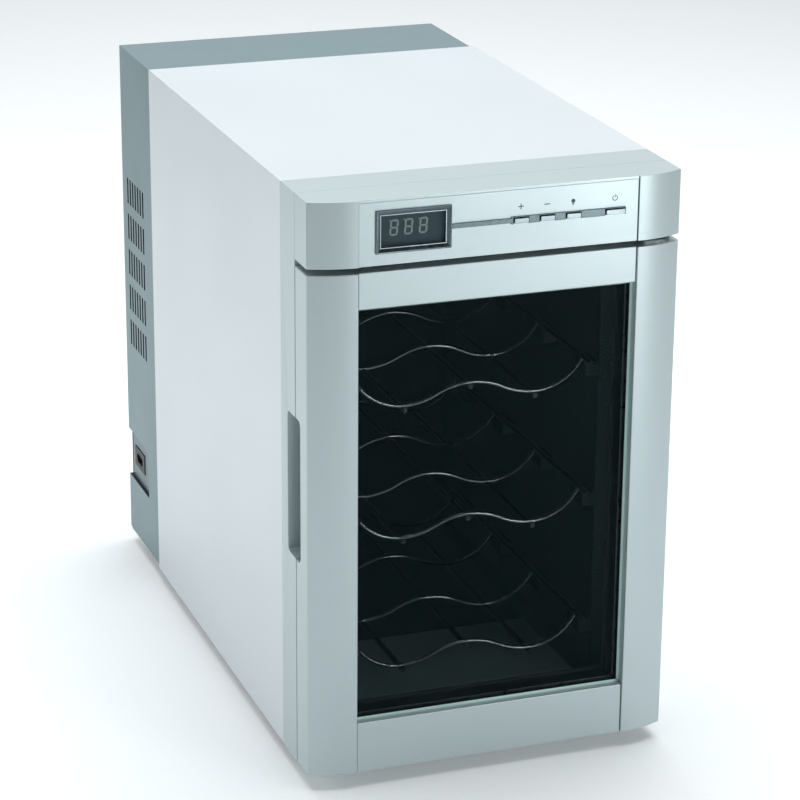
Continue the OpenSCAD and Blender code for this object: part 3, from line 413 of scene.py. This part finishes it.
def casing_with_painted_shade_inside():
    """Rear casing: painted outside; its inside and the walls of its slots take a near-black painted shade
    for the dark vents.
    """
    obj = bpy.data.objects.new("rear_casing_finished", joined_mesh("rear_casing"))
    place_piece(obj, "rear_casing", "casing", "casing_shade")
    low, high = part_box("rear_casing")
    for face in obj.data.polygons:
        at, turn = face.center, face.normal
        outside = (min(at.x - low.x, high.x - at.x) < CASING_SKIN and abs(turn.x) > 0.9
                   or high.z - at.z < CASING_SKIN or high.y - at.y < CASING_SKIN)
        # faces that are not the outside take the painted shade
        face.material_index = 0 if outside else 1
    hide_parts("rear_casing")


# ---------------------------------------------------------------- marks over the buttons

MARK_PROUD = 0.04 * MM
MARK_Z = 0.385


def flat_mark(name, outlines, node, at_x, at_z, face_y):
    """Printed mark a little proud of the strip; outlines are closed loops in millimetres."""
    work = bmesh.new()
    for loop in outlines:
        front, back = ([work.verts.new((at_x + x * MM, y, at_z + z * MM)) for x, z in loop]
                       for y in (face_y - MARK_PROUD, face_y))
        work.faces.new(front)
        work.faces.new(back[::-1])
        for i in range(len(loop)):
            n = (i + 1) % len(loop)
            work.faces.new((front[i], back[i], back[n], front[n]))
    bmesh.ops.recalc_face_normals(work, faces=work.faces)
    mesh = bpy.data.meshes.new(name)
    work.to_mesh(mesh)
    work.free()
    place_piece(bpy.data.objects.new(name, mesh), node, "print")


def bar(x0, z0, x1, z1):
    """Outline of an upright bar between two corners."""
    return [(x0, z0), (x1, z0), (x1, z1), (x0, z1)]


def arc_band(radius, width, start, end, steps=20):
    """Band along an arc; angles in degrees, anticlockwise from the right."""
    turns = [math.radians(start + (end - start) * i / steps) for i in range(steps + 1)]
    inner = [((radius - width) * math.cos(t), (radius - width) * math.sin(t)) for t in turns]
    return [(radius * math.cos(t), radius * math.sin(t)) for t in turns] + inner[::-1]


def disc(cx, cz, radius, steps=20):
    """Outline of a disc about a centre."""
    turns = [math.tau * i / steps for i in range(steps)]
    return [(cx + radius * math.cos(t), cz + radius * math.sin(t)) for t in turns]


# plus, minus, lamp and power, each over its own button
MARKS = {
    "button_warmer": [bar(-1.9, -0.3, -0.3, 0.3), bar(0.3, -0.3, 1.9, 0.3),
                      bar(-0.3, -1.9, 0.3, 1.9)],
    "button_cooler": [bar(-1.9, -0.3, 1.9, 0.3)],
    "button_lamp": [disc(0, 0.5, 1.35), bar(-0.7, -1.5, 0.7, -1.05), bar(-0.5, -2.1, 0.5, -1.7)],
    "button_power": [arc_band(1.9, 0.5, 120, 420), bar(-0.25, 0.4, 0.25, 2.3)],
}


def make_marks():
    """Plain mark over the middle of each button."""
    face_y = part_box("fascia_panel")[0].y
    for button, outlines in MARKS.items():
        low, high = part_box(button)
        flat_mark(button + "_mark", outlines, "fascia_panel", (low.x + high.x) / 2, MARK_Z, face_y)


# ---------------------------------------------------------------- rack wires

# the CAD racks' own sizes, in millimetres
WIRE_END_X = 78.5        # middle to the end of a cross wire
WAVE_H = 11.0            # valley to crest
END_RISE = 8.0           # crest to the wire's end
VALLEY_TO_SIDE = 33.0
SIDE_WIRE_TOP = 1.8      # wire's end to the top of the side wire
WIRE_R, WIRE_SIDES = 1.4, 16
PLATING = 0.02           # drawn wire stands this far out of the CAD wire
FIRST_WIRE, WIRE_PITCH, WIRE_COUNT = 18.0, 77.0, 4
DOOR_PLANE_Y = -200.5    # door's closing plane in this frame
HALF_WIRE_STEPS = 48


def wave_points():
    """Centre line of a cross wire in millimetres, from its left end to its right end."""
    valley = WIRE_END_X - VALLEY_TO_SIDE
    rise = WAVE_H + END_RISE
    crest_r = ((valley / 2) ** 2 + (WAVE_H / 2) ** 2) / WAVE_H
    end_r = (VALLEY_TO_SIDE ** 2 + rise ** 2) / (2 * rise)
    half = []
    for i in range(HALF_WIRE_STEPS + 1):
        x = WIRE_END_X * i / HALF_WIRE_STEPS
        if x <= valley / 2:
            z = -crest_r + math.sqrt(crest_r ** 2 - x ** 2)
        elif x <= valley:
            z = -WAVE_H + crest_r - math.sqrt(crest_r ** 2 - (x - valley) ** 2)
        else:
            z = -WAVE_H + end_r - math.sqrt(end_r ** 2 - (x - valley) ** 2)
        half.append((x, z))
    return [(-x, z) for x, z in half[:0:-1]] + half


def input_sockets(nodes):
    """Identifier of each named input of a Geometry Nodes modifier."""
    inputs = nodes.node_group.interface.items_tree
    return {socket.name: socket.identifier for socket in inputs if socket.in_out == "INPUT"}


def wire_tree(name, look):
    """Sweeps a round wire along a line and repeats it at a pitch towards the back."""
    tree = bpy.data.node_groups.new(name, "GeometryNodeTree")
    face = tree.interface
    face.new_socket("Geometry", in_out="INPUT", socket_type="NodeSocketGeometry")
    for label, kind in (("Wire Radius", "Float"), ("Sides", "Int"), ("Pitch", "Float"), ("Count", "Int")):
        face.new_socket(label, in_out="INPUT", socket_type="NodeSocket" + kind)
    face.new_socket("Geometry", in_out="OUTPUT", socket_type="NodeSocketGeometry")
    add, link = tree.nodes.new, tree.links.new
    given, out = add("NodeGroupInput"), add("NodeGroupOutput")
    to_curve, section = add("GeometryNodeMeshToCurve"), add("GeometryNodeCurvePrimitiveCircle")
    sweep, line = add("GeometryNodeCurveToMesh"), add("GeometryNodeMeshLine")
    step, repeat = add("ShaderNodeCombineXYZ"), add("GeometryNodeInstanceOnPoints")
    real, finish = add("GeometryNodeRealizeInstances"), add("GeometryNodeSetMaterial")
    sweep.inputs["Fill Caps"].default_value = True
    finish.inputs["Material"].default_value = M[look]
    link(given.outputs["Geometry"], to_curve.inputs["Mesh"])
    link(given.outputs["Wire Radius"], section.inputs["Radius"])
    link(given.outputs["Sides"], section.inputs["Resolution"])
    link(to_curve.outputs["Curve"], sweep.inputs["Curve"])
    link(section.outputs["Curve"], sweep.inputs["Profile Curve"])
    link(given.outputs["Pitch"], step.inputs["Y"])
    link(given.outputs["Count"], line.inputs["Count"])
    link(step.outputs["Vector"], line.inputs["Offset"])
    link(line.outputs["Mesh"], repeat.inputs["Points"])
    link(sweep.outputs["Mesh"], repeat.inputs["Instance"])
    link(repeat.outputs["Instances"], real.inputs["Geometry"])
    link(real.outputs["Geometry"], finish.inputs["Geometry"])
    link(finish.outputs["Geometry"], out.inputs["Geometry"])
    return tree


def wave_top_above_crest():
    """Height of a rack's highest point above the crest of its wave: the top of its side wires."""
    return (END_RISE + SIDE_WIRE_TOP) * MM


def draw_wires(rack):
    """Smooth round cross wires of a rack at their own places, swept and repeated by the wire tree."""
    top_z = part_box(rack)[1].z - wave_top_above_crest()
    first_y = (FIRST_WIRE + DOOR_PLANE_Y) * MM
    path = bpy.data.meshes.new(rack + "_path")
    points = wave_points()
    path.from_pydata([(x * MM, first_y, top_z + z * MM) for x, z in points],
                     [(i, i + 1) for i in range(len(points) - 1)], [])
    drawn = bpy.data.objects.new(rack + "_wires", path)
    bpy.context.scene.collection.objects.link(drawn)
    nodes = drawn.modifiers.new("wires", "NODES")
    nodes.node_group = wire_tree(rack + "_wire_tree", "wire")
    sockets = input_sockets(nodes)
    nodes[sockets["Wire Radius"]] = (WIRE_R + PLATING) * MM
    nodes[sockets["Sides"]] = WIRE_SIDES
    nodes[sockets["Pitch"]] = WIRE_PITCH * MM
    nodes[sockets["Count"]] = WIRE_COUNT
    bpy.context.view_layer.update()
    graph = bpy.context.evaluated_depsgraph_get()
    mesh = bpy.data.meshes.new_from_object(drawn.evaluated_get(graph), depsgraph=graph)
    drawn.modifiers.remove(nodes)
    drawn.data = mesh
    mesh.shade_smooth()
    place_piece(drawn, rack, "wire")


# ---------------------------------------------------------------- screw heads

def islands(node):
    """Lowest and highest corner of each separate solid of a CAD node."""
    work = bmesh.new()
    work.from_mesh(joined_mesh(node))
    left, boxes = set(work.verts), []
    while left:
        heap, found = [left.pop()], []
        while heap:
            vert = heap.pop()
            found.append(vert.co.copy())
            for edge in vert.link_edges:
                other = edge.other_vert(vert)
                if other in left:
                    left.remove(other)
                    heap.append(other)
        boxes.append([Vector(pick(point[i] for point in found) for i in range(3))
                      for pick in (min, max)])
    work.free()
    return boxes


HEAD_TOP_SHARE = 0.72    # top of a screw head over its foot
HEAD_SIDES = 32
RECESS_W = 0.9           # millimetres


def screw_tree(name, look):
    """Low domed screw heads with a cross recess, facing the back, one at each point."""
    tree = bpy.data.node_groups.new(name, "GeometryNodeTree")
    face = tree.interface
    face.new_socket("Geometry", in_out="INPUT", socket_type="NodeSocketGeometry")
    for label in ("Head Radius", "Head Height", "Recess Width"):
        face.new_socket(label, in_out="INPUT", socket_type="NodeSocketFloat")
    face.new_socket("Geometry", in_out="OUTPUT", socket_type="NodeSocketGeometry")
    add, link = tree.nodes.new, tree.links.new
    given, out = add("NodeGroupInput"), add("NodeGroupOutput")
    head, narrow = add("GeometryNodeMeshCone"), add("ShaderNodeMath")
    narrow.operation = "MULTIPLY"
    narrow.inputs[1].default_value = HEAD_TOP_SHARE
    head.inputs["Vertices"].default_value = HEAD_SIDES
    link(given.outputs["Head Radius"], narrow.inputs[0])
    link(given.outputs["Head Radius"], head.inputs["Radius Bottom"])
    link(narrow.outputs[0], head.inputs["Radius Top"])
    link(given.outputs["Head Height"], head.inputs["Depth"])
    cut = add("GeometryNodeMeshBoolean")
    cut.operation = "DIFFERENCE"
    link(head.outputs["Mesh"], cut.inputs["Mesh 1"])
    for turned in (False, True):
        size, slot_box = add("ShaderNodeCombineXYZ"), add("GeometryNodeMeshCube")
        lift, raised = add("ShaderNodeCombineXYZ"), add("GeometryNodeTransform")
        link(given.outputs["Head Radius"], size.inputs["Y" if turned else "X"])
        link(given.outputs["Recess Width"], size.inputs["X" if turned else "Y"])
        link(given.outputs["Head Height"], size.inputs["Z"])
        link(size.outputs["Vector"], slot_box.inputs["Size"])
        link(given.outputs["Head Height"], lift.inputs["Z"])
        link(slot_box.outputs["Mesh"], raised.inputs["Geometry"])
        link(lift.outputs["Vector"], raised.inputs["Translation"])
        link(raised.outputs["Geometry"], cut.inputs["Mesh 2"])
    repeat, real = add("GeometryNodeInstanceOnPoints"), add("GeometryNodeRealizeInstances")
    finish = add("GeometryNodeSetMaterial")
    repeat.inputs["Rotation"].default_value = (-math.pi / 2, 0, 0)
    finish.inputs["Material"].default_value = M[look]
    link(given.outputs["Geometry"], repeat.inputs["Points"])
    link(cut.outputs["Mesh"], repeat.inputs["Instance"])
    link(repeat.outputs["Instances"], real.inputs["Geometry"])
    link(real.outputs["Geometry"], finish.inputs["Geometry"])
    link(finish.outputs["Geometry"], out.inputs["Geometry"])
    return tree


def screw_heads(node, height):
    """Countersunk heads, flush with the back, in place of the screws of a node."""
    boxes = islands(node)
    radius = (boxes[0][1].x - boxes[0][0].x) / 2
    mesh = bpy.data.meshes.new(node + "_spots")
    mesh.from_pydata([((a.x + b.x) / 2, b.y - height * MM, (a.z + b.z) / 2) for a, b in boxes], [], [])
    obj = bpy.data.objects.new(node + "_heads", mesh)
    bpy.context.scene.collection.objects.link(obj)
    nodes = obj.modifiers.new("heads", "NODES")
    nodes.node_group = screw_tree(node + "_tree", "steel")
    sockets = input_sockets(nodes)
    nodes[sockets["Head Radius"]] = radius
    nodes[sockets["Head Height"]] = height * MM
    nodes[sockets["Recess Width"]] = RECESS_W * MM
    graph = bpy.context.evaluated_depsgraph_get()
    made = bpy.data.meshes.new_from_object(obj.evaluated_get(graph), depsgraph=graph)
    obj.modifiers.remove(nodes)
    obj.data = made
    place_piece(obj, node, "steel")
    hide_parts(node)


# ---------------------------------------------------------------- painted highlight round the glass

def thin_ring(name, node, look, box_mm, width, front_y, depth):
    """Flat rectangular ring of four bars inside a box (x0, z0, x1, z1) in millimetres."""
    x0, z0, x1, z1 = box_mm
    bars = ((x0, z0, x1, z0 + width), (x0, z1 - width, x1, z1),
            (x1 - width, z0 + width, x1, z1 - width), (x0, z0 + width, x0 + width, z1 - width))
    work = bmesh.new()
    for a, b, c, d in bars:
        for vert in bmesh.ops.create_cube(work, size=1)["verts"]:
            vert.co = Vector((((a + c) / 2 + vert.co.x * (c - a)) * MM,
                              front_y + (0.5 + vert.co.y) * depth * MM,
                              ((b + d) / 2 + vert.co.z * (d - b)) * MM))
    mesh = bpy.data.meshes.new(name)
    work.to_mesh(mesh)
    work.free()
    place_piece(bpy.data.objects.new(name, mesh), node, look)


EDGE_HIGHLIGHT_BOX = (-93.5, 46.3, 93.5, 328)     # the window's edges, millimetres
EDGE_HIGHLIGHT_W, EDGE_HIGHLIGHT_DEPTH = 1.7, 0.5           # millimetres
EDGE_HIGHLIGHT_PROUD = 0.0006


def glass_edge_highlight():
    """Pale green band in front of the outer pane along the window's edges: the glass edge's own green
    with a painted highlight.
    """
    front_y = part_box("outer_pane")[0].y - EDGE_HIGHLIGHT_PROUD
    thin_ring("glass_edge_highlight", "outer_pane", "lit_edge", EDGE_HIGHLIGHT_BOX, EDGE_HIGHLIGHT_W, front_y, EDGE_HIGHLIGHT_DEPTH)


LENS_INSET = 3.0                        # millimetres in from the bezel's rim
LENS_LINE_W, LENS_LINE_DEPTH = 0.5, 0.4  # millimetres
LENS_LINE_PROUD = 0.0002


def lens_line():
    """Bright line where the display's bezel meets its lens."""
    low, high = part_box("display_bezel")
    edges = (low.x / MM + LENS_INSET, low.z / MM + LENS_INSET,
             high.x / MM - LENS_INSET, high.z / MM - LENS_INSET)
    thin_ring("lens_line", "display_bezel", "chrome", edges, LENS_LINE_W,
              high.y - LENS_LINE_PROUD, LENS_LINE_DEPTH)


SCREW_HEAD_H = 1.0                      # millimetres

make_camera()
make_materials()
make_stage()
dress_nodes()
for node, edge, look in ROUNDED:
    rounded(node, edge, look)
casing_with_painted_shade_inside()
make_marks()
for rack in ("rack_top", "rack_middle", "rack_bottom"):
    draw_wires(rack)
screw_heads("casing_screws", SCREW_HEAD_H)
glass_edge_highlight()
lens_line()
